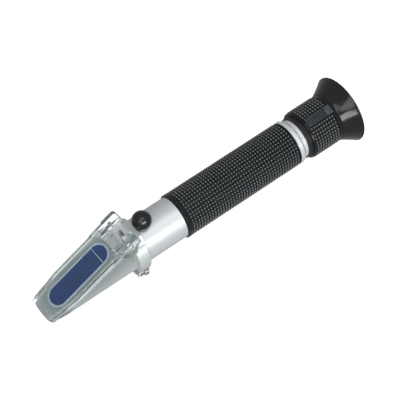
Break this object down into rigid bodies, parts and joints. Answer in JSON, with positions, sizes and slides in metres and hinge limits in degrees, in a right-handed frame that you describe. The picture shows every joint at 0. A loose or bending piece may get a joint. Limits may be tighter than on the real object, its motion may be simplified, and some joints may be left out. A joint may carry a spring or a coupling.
{
  "type": "hand-held refractometer",
  "caption": "Hand-held refractometer: slanted prism under a hinged clear plate, ribbed grip, ball cap over the zero screw and a focusing eyepiece with a flared eyecup.",
  "frame": {"origin": "centre of the eyecup's rim, on the optical axis", "axes": "+X along the optical axis towards the eye, +Z out of the side that carries the prism and the daylight plate, +Y to the left of an observer at the eyepiece end"},
  "size_m": [0.1688, 0.033, 0.036],
  "materials": {
    "cast_metal": "satin plated casting, slightly grey-green on the flats",
    "tube_metal": "satin",
    "steel": "polished",
    "brass": "turned",
    "black_metal": "black anodised",
    "grip_rubber": "satin, studded",
    "cup_rubber": "semi-gloss",
    "seal_rubber": "matt",
    "clear_plastic": "clear moulded acrylic",
    "prism_glass": "polished blue filter glass",
    "prism_cement": "smooth pale blue cement",
    "lens_glass": "polished, coated",
    "scale_glass": "polished, with a photo-etched scale"
  },
  "bodies": {
    "barrel": {"prism_housing": "cast_metal", "measuring_prism": "prism_glass", "prism_seal": "prism_cement", "hinge_pin": "steel", "hinge_screw": "steel", "foot": "clear_plastic", "foot_screws": "steel", "collar_seal": "seal_rubber", "main_tube": "tube_metal", "rubber_grip": "grip_rubber", "grip_end_ring": "tube_metal", "eyepiece_tube": "tube_metal", "calibration_bush": "steel", "objective_guide": "black_metal", "return_spring": "brass", "bimetal_strip": "brass", "bimetal_screw": "steel", "light_baffle": "black_metal", "reticle": "scale_glass", "reticle_ring": "black_metal"},
    "plate": {"daylight_plate": "clear_plastic"},
    "cap": {"calibration_cap": "cup_rubber"},
    "objective": {"objective_cell": "black_metal", "crown_lens": "lens_glass", "flint_lens": "lens_glass", "objective_ring": "black_metal"},
    "zero_screw": {"calibration_screw": "brass"},
    "eye_lens_slide": {"eye_lens_cell": "black_metal", "field_lens": "lens_glass", "lens_spacer": "black_metal", "eye_lens": "lens_glass", "eye_lens_ring": "black_metal"},
    "focus_ring": {"focus_barrel": "black_metal", "focus_retaining_ring": "black_metal", "focus_grip": "grip_rubber", "eyecup": "cup_rubber"}
  },
  "joints": [
    {"name": "plate_hinge", "type": "hinge", "parent": "barrel", "child": "plate", "pos_m": [-0.1259, 0, 0.0145], "axis": [0, 1, 0], "range_deg": [0, 110]},
    {"name": "cap_pull", "type": "slide", "parent": "barrel", "child": "cap", "axis": [0, 0, 1], "range_m": [0, 0.012]},
    {"name": "objective_shift", "type": "slide", "parent": "barrel", "child": "objective", "axis": [0, 0, 1], "range_m": [-0.00076, 0.00076], "deforming": ["return_spring"]},
    {"name": "screw_turn", "type": "hinge", "parent": "objective", "child": "zero_screw", "pos_m": [-0.1141, 0, 0], "axis": [0, 0, 1], "range_deg": [-540, 540]},
    {"name": "focus_slide", "type": "slide", "parent": "barrel", "child": "eye_lens_slide", "axis": [1, 0, 0], "range_m": [-0.00251, 0.00251]},
    {"name": "focus_turn", "type": "hinge", "parent": "eye_lens_slide", "child": "focus_ring", "pos_m": [-0.013, 0, 0], "axis": [1, 0, 0], "range_deg": [-150, 150]}
  ],
  "couplings": [
    {"joint": "objective_shift", "follows": "screw_turn", "m_per_rad": 0.000079577},
    {"joint": "focus_slide", "follows": "focus_turn", "m_per_rad": 0.00095493}
  ]
}
